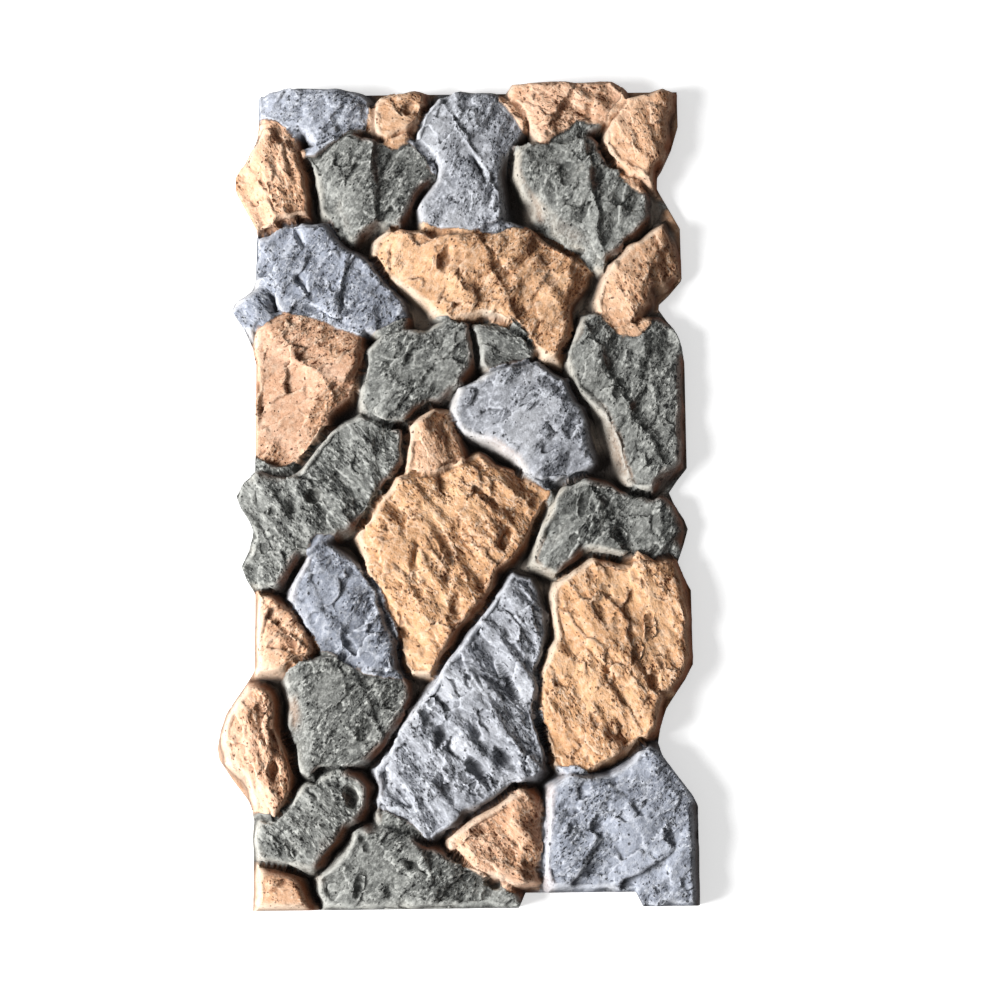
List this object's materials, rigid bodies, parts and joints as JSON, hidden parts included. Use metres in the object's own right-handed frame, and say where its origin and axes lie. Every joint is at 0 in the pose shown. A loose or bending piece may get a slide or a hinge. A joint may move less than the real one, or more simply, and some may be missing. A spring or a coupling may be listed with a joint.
{
  "type": "faux stone wall panel",
  "caption": "Moulded wall panel with rubble stones in relief, a flat back, and an interlocking outline with a tab, a notch and side bulges.",
  "frame": {"origin": "middle of the overall box, on the flat back face", "axes": "+Z out of the stone face, +Y along the panel towards the tab, +X to the right seen from the front with the tab up"},
  "size_m": [0.68, 1.213, 0.054],
  "materials": {
    "painted_foam": "matt painted stone relief with dark joints"
  },
  "bodies": {
    "root": {"stone_panel": "painted_foam"}
  },
  "joints": []
}
